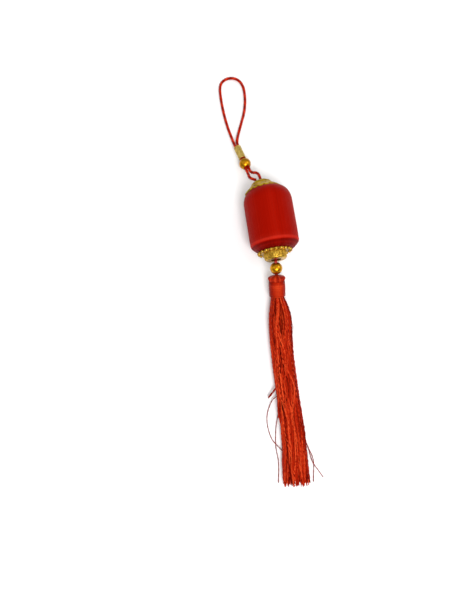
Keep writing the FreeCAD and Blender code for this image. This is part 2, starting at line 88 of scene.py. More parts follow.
# The hanging cord's route, from one exit at the dome's mouth round the loop to the other exit.
CORD_ROUTE = (
    (-0.00403, 0.10026, 0.01600),
    (-0.00785, 0.10256, 0.01400),
    (-0.00761, 0.10866, 0.00717),
    (-0.00856, 0.11287, 0.00630),
    (-0.01265, 0.13084, 0.00261),
    (-0.01360, 0.13505, 0.00174),
    (-0.01655, 0.15066, 0.00110),
    (-0.01755, 0.16716, 0.00110),
    (-0.01705, 0.18006, 0.00110),
    (-0.01205, 0.18446, 0.00110),
    (-0.00545, 0.18436, 0.00110),
    (-0.00085, 0.17966, 0.00110),
    (0.00015, 0.17116, 0.00110),
    (-0.00185, 0.15866, 0.00110),
    (-0.00675, 0.14746, 0.00110),
    (-0.01159, 0.13550, 0.00174),
    (-0.01064, 0.13129, 0.00261),
    (-0.00655, 0.11332, 0.00630),
    (-0.00560, 0.10911, 0.00717),
    (-0.00115, 0.10636, 0.01340),
    (-0.00113, 0.10026, 0.01600),
)

# The skirt's middle line and shape, from the barrel's middle: x, y, half width, half height, in metres.
SKIRT_STATIONS = (
    (-0.0032, -0.0620, 0.0077, 0.0052),
    (-0.0050, -0.0780, 0.0078, 0.0047),
    (-0.0062, -0.0970, 0.0077, 0.0043),
    (-0.0068, -0.1170, 0.0077, 0.0040),
    (-0.0074, -0.1400, 0.0079, 0.0037),
    (-0.0103, -0.1695, 0.0085, 0.0032),
)


BEAD_RADIUS = 0.0040
PAIR_BORE = 0.00213             # bore of the bead that the doubled cord passes through
TASSEL_BORE = 0.0012            # bore of the bead on the tassel's cord
BEAD_LIP = 0.05                 # radians, from a bead's mouth to the start of its round side
BEAD_LIP_DEPTH = 0.00012
SLEEVE_HALF = 0.0050
SLEEVE_RADIUS = 0.00236
SLEEVE_BORE = 0.00214
SLEEVE_BAND_PLACES = (0.0046, 0.0026, 0.0, -0.0026, -0.0046)
SLEEVE_BAND_WIDTH = 0.00028
SLEEVE_BAND_HEIGHT = 0.00020
STRAY_RADIUS = 0.00026
FINE_STRAY_RADIUS = 0.00013
TUFT_RADIUS = 0.00046
STRAY_TONE = 0.2
STRAND_STEPS = 104              # points along each of the tassel's threads


# ---- settings -----------------------------------------------------------------------------------
def length_setting(name, metres, description):
    return FloatProperty(name=name, description=description, default=metres,
                         min=0.0, unit="LENGTH", precision=5)


def colour_setting(name, colour, description):
    return FloatVectorProperty(name=name, description=description, default=colour, size=3,
                               subtype="COLOR", min=0.0, max=1.0)


class LanternWindingSettings(PropertyGroup):
    threads: IntProperty(name="Threads", description="Threads side by side round the barrel", default=210)
    thread_height: length_setting("Thread height", 0.00006, "How far each thread stands proud")
    shoulder_depth: length_setting("Shoulder depth", 0.008, "How far each shoulder comes in from the side")
    top_shoulder: length_setting("Top shoulder", 0.010, "Length of the top shoulder")
    bottom_shoulder: length_setting("Bottom shoulder", 0.0065, "Length of the bottom shoulder")
    bore_radius: length_setting("Bore radius", 0.0042, "Where the thread turns into the bore")
    roll_groove: length_setting("Roll groove", 0.0002, "Depth of the groove before the bottom edge roll")
    roll_hollow: length_setting("Roll hollow", 0.0007, "Depth of the hollow behind the bottom edge roll")
    colour: colour_setting("Colour", (0.335, 0.0040, 0.0004), "Thread colour")
    # painted highlight: on the winding this colour stands in for the satin shine on the bottom edge roll
    bright: colour_setting("Bright colour", (0.53, 0.021, 0.010), "Thread colour on the edge roll")
    # painted shade: on the winding this colour stands in for the shade in the hollow behind the edge roll
    # and on the end face
    deep: colour_setting("Deep colour", (0.13, 0.0009, 0.0002), "Thread colour in the hollow")


class LanternCordSettings(PropertyGroup):
    diameter: length_setting("Diameter", 0.002, "Cord diameter")
    pitch: length_setting("Lay", 0.0056, "Length of one full twist")
    colour: colour_setting("Colour", (0.40, 0.0090, 0.0026), "Cord colour")
    bright: colour_setting("Bright colour", (0.72, 0.045, 0.011), "Cord colour where the yarn is lightest")
    deep: colour_setting("Deep colour", (0.13, 0.0030, 0.0012), "Cord colour where the yarn is darkest")


class LanternTasselSettings(PropertyGroup):
    strands: IntProperty(name="Strands", description="Strands in the skirt", default=190)
    strand_radius: length_setting("Strand radius", 0.00044, "Radius of one strand")
    head_radius: length_setting("Head radius", 0.0057, "Widest radius of the head")
    head_length: length_setting("Head length", 0.0040, "Length of the folded head")
    binding_radius: length_setting("Binding radius", 0.0054, "Radius over the binding")
    binding_length: length_setting("Binding length", 0.0102, "Length of the binding")
    bead_gap: length_setting("Bead gap", 0.0043, "From the bead's centre to the head")
    colour: colour_setting("Colour", (0.44, 0.016, 0.0024), "Tassel colour")
    # also the painted highlight along the top of the binding, besides the lightest strands
    bright: colour_setting("Bright colour", (0.80, 0.085, 0.020), "Tassel colour where lightest")
    # also the painted shade round the binding's sides and underside, besides the darkest strands
    deep: colour_setting("Deep colour", (0.13, 0.0010, 0.0003), "Tassel colour where darkest")


class LanternGiltSettings(PropertyGroup):
    olive: colour_setting("Olive gilt", (0.52, 0.34, 0.012), "Gilt of the top cap")
    gilt: colour_setting("Gilt", (0.58, 0.36, 0.045), "Polished gilt of the bottom fittings")
    satin: colour_setting("Satin gilt", (0.64, 0.30, 0.010), "Satin gilt of the beads")
    pale: colour_setting("Pale gilt", (0.66, 0.49, 0.13), "Pale gilt of the sleeve")


class LanternStageSettings(PropertyGroup):
    floor_colour: colour_setting("Floor", (0.93, 0.93, 0.93), "Colour of the floor")
    floor_size: length_setting("Floor size", 6.0, "Side of the square floor")


# ---- meshes -------------------------------------------------------------------------------------
def new_object(name, points, quads, triangles=None, uv=None, tone=None):
    """A smooth mesh object from arrays of points, four-sided faces and three-sided faces."""
    mesh = bpy.data.meshes.new(name)
    mesh.vertices.add(len(points))
    mesh.vertices.foreach_set("co", np.ascontiguousarray(points, dtype=np.float32).ravel())
    triangles = np.zeros((0, 3), dtype=np.int32) if triangles is None else triangles
    corners = np.concatenate([quads.ravel(), triangles.ravel()]).astype(np.int32)
    starts = np.concatenate([np.arange(len(quads)) * 4, quads.size + np.arange(len(triangles)) * 3])
    mesh.loops.add(len(corners))
    mesh.loops.foreach_set("vertex_index", corners)
    mesh.polygons.add(len(starts))
    mesh.polygons.foreach_set("loop_start", starts.astype(np.int32))
    mesh.update(calc_edges=True)
    mesh.shade_smooth()
    if uv is not None:
        layer = mesh.uv_layers.new(name="UVMap")
        layer.data.foreach_set("uv", uv[corners].astype(np.float32).ravel())
    if tone is not None:
        attribute = mesh.attributes.new("tone", "FLOAT", "POINT")
        attribute.data.foreach_set("value", tone.astype(np.float32))
    thing = bpy.data.objects.new(name, mesh)
    bpy.context.scene.collection.objects.link(thing)
    return thing


def unit(vectors):
    """Vectors divided by their lengths."""
    return vectors / np.maximum(np.linalg.norm(vectors, axis=-1, keepdims=True), 1e-12)


def axis_frame(direction):
    """Two unit vectors square to a direction, the first level and the second upwards."""
    side = unit(np.cross(direction, UP))
    return side, np.cross(side, direction)


def turned(name, centre, direction, outline, columns, ripple=None, tone=None):
    """A closed outline of (radius, height) turned about an axis.

    Point (i, j) is centre + height_i * direction + (radius_i + ripple(i, j)) * (cos a_j, sin a_j),
    with the angle a_j even round the axis. The outline's last point joins its first.
    """
    outline = np.array(outline)
    rows = len(outline)
    angles = np.arange(columns) * TURN / columns
    side, rise = axis_frame(direction)
    spokes = np.cos(angles)[:, None] * side + np.sin(angles)[:, None] * rise
    radii = np.repeat(outline[:, :1], columns, axis=1)
    if ripple is not None:
        radii = radii + ripple(outline, angles)
    points = centre + outline[:, 1][:, None, None] * direction + radii[:, :, None] * spokes[None]
    row, column = np.meshgrid(np.arange(rows), np.arange(columns), indexing="ij")
    index = row * columns + column
    right = np.roll(index, -1, axis=1)
    quads = np.stack([index, right, np.roll(right, -1, axis=0), np.roll(index, -1, axis=0)], axis=-1)
    uv = np.stack([column / columns, row / rows], axis=-1).reshape(-1, 2)
    shade = None if tone is None else tone(outline, angles).ravel()
    return new_object(name, points.reshape(-1, 3), quads.reshape(-1, 4), uv=uv, tone=shade)


def path_frames(paths):
    """Unit tangent, level side vector and rising vector at every point of an array of paths."""
    tangent = unit(np.gradient(paths, axis=1))
    side = unit(np.cross(tangent, UP))
    return tangent, side, np.cross(side, tangent)


def strand_object(name, paths, radii, sides, ply=0.0, twist=0.0, tone=None):
    """Many round strands as one mesh, each a circle carried along its own path, with closed ends.

    paths is strands x points x 3 and radii is strands x points. The circle's radius is multiplied by
    1 + ply * cos(2 a - twist * distance), so that a strand with ply looks like two yarns twisted.
    """
    count, steps = paths.shape[:2]
    tangent, side, rise = path_frames(paths)
    angles = np.arange(sides) * TURN / sides
    moves = np.linalg.norm(np.diff(paths, axis=1), axis=-1)
    distance = np.concatenate([np.zeros((count, 1)), np.cumsum(moves, axis=1)], axis=1)
    wave = 1 + ply * np.cos(2 * angles - (twist * distance)[:, :, None])
    rim = radii[:, :, None] * wave
    ring = np.cos(angles)[:, None] * side[:, :, None] + np.sin(angles)[:, None] * rise[:, :, None]
    points = paths[:, :, None] + rim[..., None] * ring
    body = count * steps * sides
    all_points = np.concatenate([points.reshape(-1, 3), paths[:, 0], paths[:, -1]])
    strand, step, around = np.meshgrid(np.arange(count), np.arange(steps), np.arange(sides), indexing="ij")
    index = (strand * steps + step) * sides + around
    beside = np.roll(index, -1, axis=2)
    quads = np.stack([index[:, :-1], index[:, 1:], beside[:, 1:], beside[:, :-1]], axis=-1).reshape(-1, 4)
    first = np.broadcast_to(body + np.arange(count)[:, None], (count, sides))
    last = first + count
    start_fan = np.stack([first, index[:, 0], beside[:, 0]], axis=-1).reshape(-1, 3)
    end_fan = np.stack([last, beside[:, -1], index[:, -1]], axis=-1).reshape(-1, 3)
    shade = None
    if tone is not None:
        shade = np.broadcast_to(tone[:, :, None], (count, steps, sides)).ravel()
        shade = np.concatenate([shade, tone[:, 0], tone[:, -1]])
    triangles = np.concatenate([start_fan, end_fan])
    return new_object(name, all_points, quads, triangles, tone=shade)


def smooth_line(points, steps):
    """A smooth line through given points, evenly spaced: a cubic through each four of them."""
    points = np.array(points, dtype=float)
    padded = np.concatenate([2 * points[:1] - points[1:2], points, 2 * points[-1:] - points[-2:-1]])
    place = np.linspace(0, len(points) - 1, steps * 4)
    index = np.minimum(place.astype(int), len(points) - 2)
    t = (place - index)[:, None]
    before, start, end, after = (padded[index + shift] for shift in range(4))
    line = 0.5 * (2 * start + (end - before) * t + (2 * before - 5 * start + 4 * end - after) * t ** 2
                  + (3 * start - before - 3 * end + after) * t ** 3)
    return resample(line, steps)


def resample(line, steps):
    """The same line with evenly spaced points."""
    moves = np.linalg.norm(np.diff(line[:, :3], axis=0), axis=1)
    distance = np.concatenate([[0.0], np.cumsum(moves)])
    even = np.linspace(0, distance[-1], steps)
    return np.stack([np.interp(even, distance, line[:, axis]) for axis in range(line.shape[1])], axis=1)


def finish_piece(piece, material, body, slot, *nodes):
    """Gives a piece its material and its body, and hides the CAD nodes that it stands for; the slot argument
    is not used.
    """
    piece.data.materials.clear()
    piece.data.materials.append(material)
    if body is not None:
        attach(piece, body)
    if nodes:
        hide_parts(*nodes)
    return piece


def dress(node, material):
    """Gives a CAD node's object a better material."""
    thing = frame["nodes"][node]
    thing.data.materials.clear()
    thing.data.materials.append(material)


# ---- materials ----------------------------------------------------------------------------------
class Nodes:
    """A short way to add and join the nodes of one material."""

    def __init__(self, name):
        self.material = bpy.data.materials.new(name)
        self.material.use_nodes = True
        self.tree = self.material.node_tree
        self.shader = self.tree.nodes["Principled BSDF"]

    def add(self, kind, **values):
        node = self.tree.nodes.new(kind)
        for key, value in values.items():
            setattr(node, key, value)
        return node

    def join(self, output, socket):
        self.tree.links.new(output, socket)

    def set(self, **values):
        for key, value in values.items():
            self.shader.inputs[key.replace("_", " ")].default_value = value

    def coordinates(self, scale, source="Object"):
        place = self.add("ShaderNodeTexCoord")
        mapping = self.add("ShaderNodeMapping")
        mapping.inputs["Scale"].default_value = scale
        self.join(place.outputs[source], mapping.inputs["Vector"])
        return mapping.outputs["Vector"]

    def noise(self, vector, scale, detail=4.0, roughness=0.6):
        noise = self.add("ShaderNodeTexNoise")
        noise.inputs["Scale"].default_value = scale
        noise.inputs["Detail"].default_value = detail
        noise.inputs["Roughness"].default_value = roughness
        self.join(vector, noise.inputs["Vector"])
        return noise.outputs["Fac"]

    def ramp(self, value, stops):
        ramp = self.add("ShaderNodeValToRGB")
        elements = ramp.color_ramp.elements
        while len(elements) < len(stops):
            elements.new(0.5)
        for element, (position, colour) in zip(elements, stops):
            element.position = position
            element.color = (*colour, 1.0)
        self.join(value, ramp.inputs["Fac"])
        return ramp.outputs["Color"]

    def span(self, value, low, high):
        """Stretches a value from 0..1 to low..high."""
        span = self.add("ShaderNodeMapRange")
        span.inputs["To Min"].default_value = low
        span.inputs["To Max"].default_value = high
        self.join(value, span.inputs["Value"])
        return span.outputs["Result"]

    def multiply(self, first, second, factor):
        """One colour multiplied by another, as strongly as the factor says."""
        mix = self.add("ShaderNodeMix", data_type="RGBA", blend_type="MULTIPLY")
        mix.inputs["Factor"].default_value = factor
        self.join(first, mix.inputs["A"])
        self.join(second, mix.inputs["B"])
        return mix.outputs["Result"]

    def bump(self, value, strength, distance):
        bump = self.add("ShaderNodeBump")
        bump.inputs["Strength"].default_value = strength
        bump.inputs["Distance"].default_value = distance
        self.join(value, bump.inputs["Height"])
        self.join(bump.outputs["Normal"], self.shader.inputs["Normal"])


def shade(colour, factor):
    """A colour made lighter or darker."""
    return tuple(min(1.0, channel * factor) for channel in colour)


def winding_material(settings):
    """Satin thread laid lengthwise: by tone, from a painted shade in the bottom hollow through the plain red
    to a painted highlight on the edge roll, with fine lines and a soft shine.
    """
    nodes = Nodes("red_satin_winding")
    fine = nodes.noise(nodes.coordinates((260.0, 1.2, 1.0), "UV"), 1.0, 5.0, 0.7)
    wide = nodes.noise(nodes.coordinates((22.0, 0.35, 1.0), "UV"), 1.0, 2.0, 0.5)
    own = nodes.add("ShaderNodeAttribute", attribute_name="tone")
    stops = [(0.0, tuple(settings.deep)), (0.5, tuple(settings.colour)), (1.0, tuple(settings.bright))]
    tint = nodes.ramp(own.outputs["Fac"], stops)
    lines = nodes.ramp(fine, [(0.3, (0.80, 0.76, 0.76)), (0.7, (1.0, 1.0, 1.0))])
    clouds = nodes.ramp(wide, [(0.3, (0.90, 0.86, 0.86)), (0.7, (1.0, 1.0, 1.0))])
    colour = nodes.multiply(nodes.multiply(tint, lines, 1.0), clouds, 1.0)
    nodes.join(colour, nodes.shader.inputs["Base Color"])
    nodes.join(nodes.span(fine, 0.42, 0.58), nodes.shader.inputs["Roughness"])
    nodes.bump(fine, 0.3, 0.00005)
    nodes.set(Specular_IOR_Level=0.07, Anisotropic=0.5)
    nodes.shader.inputs["Specular Tint"].default_value = (1.0, 0.10, 0.04, 1.0)
    return nodes.material


def strand_material(name, settings, roughness, grain):
    """Rayon strands: colour by the tone attribute, which is each strand's own tone and, on the binding, a
    painted highlight and painted shade, with fine fibre grain along and across it.
    """
    nodes = Nodes(name)
    own = nodes.add("ShaderNodeAttribute", attribute_name="tone")
    stops = [(0.0, tuple(settings.deep)), (0.5, tuple(settings.colour)), (1.0, tuple(settings.bright))]
    tint = nodes.ramp(own.outputs["Fac"], stops)
    fibre = nodes.noise(nodes.coordinates((1.0, 0.5, 1.0)), grain, 4.0, 0.65)
    lift = nodes.ramp(fibre, [(0.3, (0.55, 0.45, 0.45)), (0.7, (1.0, 1.0, 1.0))])
    nodes.join(nodes.multiply(tint, lift, 0.8), nodes.shader.inputs["Base Color"])
    nodes.join(nodes.span(fibre, roughness - 0.08, roughness + 0.12), nodes.shader.inputs["Roughness"])
    nodes.bump(fibre, 0.5, 0.00012)
    nodes.set(Specular_IOR_Level=0.16)
    nodes.shader.inputs["Specular Tint"].default_value = (1.0, 0.14, 0.06, 1.0)
    return nodes.material


def thread_node_material(name, colour):
    """Thread on the pieces inside: plain rayon with a fine grain."""
    nodes = Nodes(name)
    grain = nodes.noise(nodes.coordinates((1.0, 0.2, 1.0)), 2500.0)
    stops = [(0.3, shade(colour, 0.6)), (0.7, shade(colour, 1.1))]
    nodes.join(nodes.ramp(grain, stops), nodes.shader.inputs["Base Color"])
    nodes.bump(grain, 0.4, 0.0001)
    nodes.set(Roughness=0.5)
    return nodes.material


def gilt_material(name, colour, roughness, wear):
    """Gilt metal: slightly uneven gloss and fine pits, with the colour a little darker and redder in random
    cloudy patches.
    """
    nodes = Nodes(name)
    place = nodes.coordinates((1.0, 1.0, 1.0))
    cloud = nodes.noise(place, 350.0, 3.0)
    pits = nodes.noise(place, 2600.0, 2.0)
    low = (colour[0] * 0.5, colour[1] * 0.4, colour[2] * 0.25)
    nodes.join(nodes.ramp(cloud, [(0.3, low), (0.62, colour)]), nodes.shader.inputs["Base Color"])
    nodes.join(nodes.span(cloud, roughness + wear, roughness), nodes.shader.inputs["Roughness"])
    nodes.bump(pits, 0.12, 0.00005)
    nodes.set(Metallic=1.0)
    return nodes.material


def plastic_material():
    """The moulded barrel inside, pale and matt."""
    nodes = Nodes("moulded_barrel")
    grain = nodes.noise(nodes.coordinates((1.0, 1.0, 1.0)), 900.0)
    nodes.join(nodes.ramp(grain, [(0.3, (0.60, 0.57, 0.50)), (0.7, (0.74, 0.71, 0.64))]),
               nodes.shader.inputs["Base Color"])
    nodes.bump(grain, 0.2, 0.0001)
    nodes.set(Roughness=0.6)
    return nodes.material


def floor_material(colour):
    """Plain pale floor with a barely visible grain."""
    nodes = Nodes("pale_floor")
    grain = nodes.noise(nodes.coordinates((1.0, 1.0, 1.0)), 40.0)
    stops = [(0.3, shade(colour, 0.99)), (0.7, colour)]
    nodes.join(nodes.ramp(grain, stops), nodes.shader.inputs["Base Color"])
    nodes.set(Roughness=0.9, Specular_IOR_Level=0.1)
    return nodes.material


# ---- operators ----------------------------------------------------------------------------------
class LANTERN_OT_stage(Operator):
    """Add the camera, the soft lights and the pale floor"""
    bl_idname = "lantern.stage"
    bl_label = "Stage"

    def execute(self, context):
        scene = context.scene
        settings = scene.lantern_stage
        data = bpy.data.cameras.new("camera")
        camera = bpy.data.objects.new("camera", data)
        scene.collection.objects.link(camera)
        data.sensor_fit = "VERTICAL"
        data.sensor_height = 36.0
        data.lens = 33.84
        data.clip_start = 0.01
        forward = Vector((0.0257, 0.1717, -0.9848)).normalized()
        rise = Vector((0.1457, 0.9740, 0.1736))
        side = forward.cross(rise).normalized()
        rise = side.cross(forward)
        turn = Matrix((side, rise, -forward)).transposed().to_4x4()
        place = Vector(GROUND + np.array([-0.0467, -0.1099, 0.370]))
        camera.matrix_world = Matrix.Translation(place) @ turn
        scene.camera = camera

        half = settings.floor_size / 2
        corners = np.array([(-half, -half, 0), (half, -half, 0), (half, half, 0), (-half, half, 0)])
        floor = new_object("floor", corners, np.array([[0, 1, 2, 3]]))
        floor.data.materials.append(floor_material(settings.floor_colour))

        scene.view_settings.view_transform = "Standard"
        world = bpy.data.worlds.new("studio")
        scene.world = world
        world.use_nodes = True
        self.sky(world.node_tree)
        self.lamp("key", GROUND, (0.05, -0.62, 0.95), 0.42, 9.0)
        self.lamp("fill_right", GROUND, (0.9, 0.1, 0.8), 0.7, 4.0)
        self.lamp("fill_left", GROUND, (-0.9, 0.3, 0.8), 0.7, 2.0)
        return {"FINISHED"}

    def sky(self, tree):
        """A white sky that is bright overhead and dim at the horizon, so that the gilt has dark sides."""
        place = tree.nodes.new("ShaderNodeTexCoord")
        parts = tree.nodes.new("ShaderNodeSeparateXYZ")
        ramp = tree.nodes.new("ShaderNodeMapRange")
        backdrop = tree.nodes["Background"]
        ramp.inputs["From Min"].default_value = 0.25
        ramp.inputs["From Max"].default_value = 0.8
        ramp.inputs["To Min"].default_value = 0.12
        ramp.inputs["To Max"].default_value = 0.75
        tree.links.new(place.outputs["Generated"], parts.inputs["Vector"])
        tree.links.new(parts.outputs["Z"], ramp.inputs["Value"])
        tree.links.new(ramp.outputs["Result"], backdrop.inputs["Strength"])
        backdrop.inputs["Color"].default_value = (1.0, 1.0, 1.0, 1.0)

    def lamp(self, name, target, offset, size, power):
        """A square soft light that points at the lantern."""
        data = bpy.data.lights.new(name, "AREA")
        data.size = size
        data.energy = power
        lamp = bpy.data.objects.new(name, data)
        bpy.context.scene.collection.objects.link(lamp)
        place = Vector(target + np.array(offset))
        aim = (Vector(target) - place).to_track_quat("-Z", "Y")
        lamp.matrix_world = Matrix.Translation(place) @ aim.to_matrix().to_4x4()


class LANTERN_OT_hanging_cord(Operator):
    """Add the twisted hanging cord along its route"""
    bl_idname = "lantern.hanging_cord"
    bl_label = "Hanging cord"

    def execute(self, context):
        settings = context.scene.lantern_cord
        line = self.route_line()
        path = resample(line, 560)
        moves = np.linalg.norm(np.diff(path, axis=0), axis=1)
        distance = np.concatenate([[0.0], np.cumsum(moves)])
        _, side, rise = (vectors[0] for vectors in path_frames(path[None]))
        offset = settings.diameter * 0.235
        strands = []
        for index in range(3):
            angle = TURN * (distance / settings.pitch + index / 3)
            strands.append(path + offset * (np.cos(angle)[:, None] * side + np.sin(angle)[:, None] * rise))
        strands = np.array(strands)
        radii = np.full(strands.shape[:2], settings.diameter * 0.27)
        generator = np.random.default_rng(3)
        yarns = np.array([0.32, 0.55, 0.9])[:, None] + 0.05 * generator.standard_normal((3, 1))
        tone = yarns + 0.12 * np.sin(distance * 900)[None]
        cord = strand_object("twisted_cord", strands, radii, 10, 0.05, 5200.0, tone=np.clip(tone, 0, 1))
        material = strand_material("twisted_red_cord", settings, 0.5, 2600.0)
        finish_piece(cord, material, None, "red_cord", "hanging_cord")
        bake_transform(cord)
        return {"FINISHED"}

    def route_line(self):
        """Points read from the NURBS spline whose control points are the route."""
        data = bpy.data.curves.new("cord_route", "CURVE")
        data.dimensions = "3D"
        data.resolution_u = 24
        spline = data.splines.new("NURBS")
        spline.points.add(len(CORD_ROUTE) - 1)
        for point, place in zip(spline.points, CORD_ROUTE):
            point.co = (*place, 1.0)
        spline.order_u = 3
        spline.use_endpoint_u = True
        route = bpy.data.objects.new("cord_route", data)
        bpy.context.scene.collection.objects.link(route)
        bpy.context.view_layer.update()
        mesh = bpy.data.meshes.new_from_object(route)
        line = np.zeros(len(mesh.vertices) * 3)
        mesh.vertices.foreach_get("co", line)
        bpy.data.objects.remove(route)
        return line.reshape(-1, 3)


class LANTERN_OT_cord_pieces(Operator):
    """Add the bead and the embossed sleeve on the doubled cord, and the bead above the tassel"""
    bl_idname = "lantern.cord_pieces"
    bl_label = "Beads and sleeve"

    def execute(self, context):
        gilt = context.scene.lantern_gilt
        satin = gilt_material("satin_gilt_bead", gilt.satin, 0.26, 0.14)
        pale = gilt_material("embossed_pale_gilt", gilt.pale, 0.3, 0.15)
        centre = middle("cord_bead")
        bead = self.bead("cord_bead_polished", centre, STEM_DIRECTION, PAIR_BORE)
        finish_piece(bead, satin, "loop_bead", "satin_gilt", "cord_bead")
        low = self.bead("tassel_bead_polished", TASSEL_BEAD, NECK_DIRECTION, TASSEL_BORE)
        finish_piece(low, satin, "tassel_link", "satin_gilt", "tassel_bead")
        sleeve = self.sleeve(middle("cord_sleeve"))
        finish_piece(sleeve, pale, "loop_sleeve", "pale_gilt", "cord_sleeve")
        return {"FINISHED"}

    def bead(self, name, centre, direction, bore):
        """A ball with a bore: an arc from one mouth to the other, a small bevel at each, then the bore.

        The arc's points are BEAD_RADIUS * (sin a, cos a), with the angle a from the axis.
        """
        mouth = math.asin(bore / BEAD_RADIUS)
        angles = np.linspace(mouth + BEAD_LIP, math.pi - mouth - BEAD_LIP, 40)
        outer = np.stack([BEAD_RADIUS * np.sin(angles), BEAD_RADIUS * np.cos(angles)], axis=1)
        end = outer[0, 1] - BEAD_LIP_DEPTH
        inner = np.array([(bore, -end), (bore, -end / 2), (bore, 0.0), (bore, end / 2), (bore, end)])
        return turned(name, centre, direction, np.concatenate([outer, inner]), 64)

    def sleeve(self, centre):
        """A thin sleeve with raised bands at its ends and middle and a slanting pattern between them.

        The radius is SLEEVE_RADIUS plus SLEEVE_BAND_HEIGHT times a bell curve at each band's place.
        """
        half = SLEEVE_HALF
        heights = np.linspace(half, -half, 110)
        bands = sum(np.exp(-((heights - place) / SLEEVE_BAND_WIDTH) ** 2) for place in SLEEVE_BAND_PLACES)
        radii = SLEEVE_RADIUS + SLEEVE_BAND_HEIGHT * np.minimum(bands, 1.0)
        outer = np.stack([radii, heights], axis=1)
        inner = np.array([(SLEEVE_BORE, -half), (SLEEVE_BORE, -half / 2), (SLEEVE_BORE, 0.0),
                          (SLEEVE_BORE, half / 2), (SLEEVE_BORE, half)])
        outline = np.concatenate([outer, inner])

        def pressed(profile, angles):
            height = profile[:, 1][:, None]
            pattern = np.sin(9 * angles[None] + height * 4200) * np.sin(9 * angles[None] - height * 4200)
            away = (profile[:, 0] > 0.0022)[:, None] * (profile[:, 0] < 0.00246)[:, None]
            return 0.00009 * pattern * away

        return turned("cord_sleeve_embossed", centre, STEM_DIRECTION, outline, 96, ripple=pressed)


class LANTERN_OT_winding(Operator):
    """Add the satin thread winding over the barrel"""
    bl_idname = "lantern.winding"
    bl_label = "Thread winding"

    def execute(self, context):
        settings = context.scene.lantern_winding
        outline = self.outline(settings)
        generator = np.random.default_rng(11)
        columns = settings.threads * 5
        lift = np.repeat(generator.standard_normal(settings.threads), 5)
        slow = np.interp(np.arange(columns), np.linspace(0, columns, 25),
                         np.append(generator.standard_normal(24), 0.0))

        def threads(profile, angles):
            share = (profile[:, 0] / BARREL_RADIUS)[:, None]
            crest = np.abs(np.sin(angles * settings.threads / 2))[None]
            height = settings.thread_height * (crest + 0.35 * lift[None] - 1.3) + 0.00003 * slow[None]
            outside = np.clip((profile[:, 0] - settings.bore_radius) / 0.001, 0, 1)[:, None]
            return height * share * outside

        def tones(profile, angles):
            height = profile[:, 1] + BARREL_HALF
            # Tone is high on the bottom edge roll, a painted highlight, and low in the hollow behind it and
            # on the end face, a painted shade; own adds random tone to each thread.
            roll = np.exp(-((height - settings.bottom_shoulder + 0.0011) / 0.0010) ** 4)
            hollow = np.clip((settings.bottom_shoulder - 0.0020 - height) / 0.0008, 0, 1)
            hollow = hollow * (1 - 0.35 * np.exp(-((height - 0.0024) / 0.0005) ** 2))
            rows = 0.5 + 0.42 * roll - 0.42 * hollow
            own = 0.035 * lift + 0.02 * slow
            return np.clip(rows[:, None] + own[None], 0, 1)

        winding = turned("thread_winding", BARREL_MIDDLE, np.array([0.0, 1.0, 0.0]), outline, columns,
                         ripple=threads, tone=tones)
        finish_piece(winding, winding_material(settings), "lantern", "winding_thread", "satin_winding")
        return {"FINISHED"}

    def shoulder(self, settings, length, steps):
        """A quarter of an oval from the side to the end face: (radius, distance from the middle)."""
        angles = np.linspace(0, math.pi / 2, steps)
        radii = BARREL_RADIUS - settings.shoulder_depth * (1 - np.cos(angles))
        return np.stack([radii, BARREL_HALF - length + length * np.sin(angles)], axis=1), angles

    def outline(self, settings):
        """The barrel's profile from the top face down its side to the bottom face, then back up the bore.

        The bottom shoulder has a shallow groove before its edge roll and a hollow behind it.
        """
        top, _ = self.shoulder(settings, settings.top_shoulder, 16)
        bottom, angles = self.shoulder(settings, settings.bottom_shoulder, 30)
        groove = settings.roll_groove * np.exp(-(angles / 0.06) ** 2)
        hollow = settings.roll_hollow * np.exp(-((angles - 0.75) / 0.30) ** 2)
        bottom[:, 0] -= groove + hollow
        end_radius = BARREL_RADIUS - settings.shoulder_depth
        spokes = np.linspace(end_radius, settings.bore_radius, 5)[1:]
        top_face = np.stack([spokes[::-1], np.full(4, BARREL_HALF)], axis=1)
        bottom_face = np.stack([spokes, np.full(4, -BARREL_HALF)], axis=1)
        bore_heights = np.linspace(-BARREL_HALF, BARREL_HALF, 6)[1:-1]
        bore = np.stack([np.full(4, settings.bore_radius), bore_heights], axis=1)
        side = np.stack([np.full(8, BARREL_RADIUS), np.linspace(top[0, 1], -bottom[0, 1], 10)[1:-1]], axis=1)
        bottom = bottom * np.array([1.0, -1.0])
        return np.concatenate([top_face, top[::-1], side, bottom, bottom_face, bore])


class LANTERN_OT_fittings(Operator):
    """Finish the gilt fittings and the pieces inside the barrel"""
    bl_idname = "lantern.fittings"
    bl_label = "Gilt fittings"

    def execute(self, context):
        gilt = context.scene.lantern_gilt
        olive = gilt_material("olive_gilt", gilt.olive, 0.36, 0.15)
        for node in ("top_flange", "top_dome"):
            dress(node, olive)
        polished = gilt_material("polished_gilt", gilt.gilt, 0.22, 0.15)
        for node in ("bottom_flange", "bottom_collar"):
            dress(node, polished)
        plastic = plastic_material()
        for node in ("barrel_wall", "bore_tube", "top_end_plate", "bottom_end_plate"):
            dress(node, plastic)
        thread = thread_node_material("thread_inside", context.scene.lantern_winding.colour)
        for node in ("thread_return", "head_knot", "neck_threads"):
            dress(node, thread)
        cord = thread_node_material("cord_inside", context.scene.lantern_cord.colour)
        for node in ("cord_tails", "cord_knot", "tassel_cord"):
            dress(node, cord)
        return {"FINISHED"}


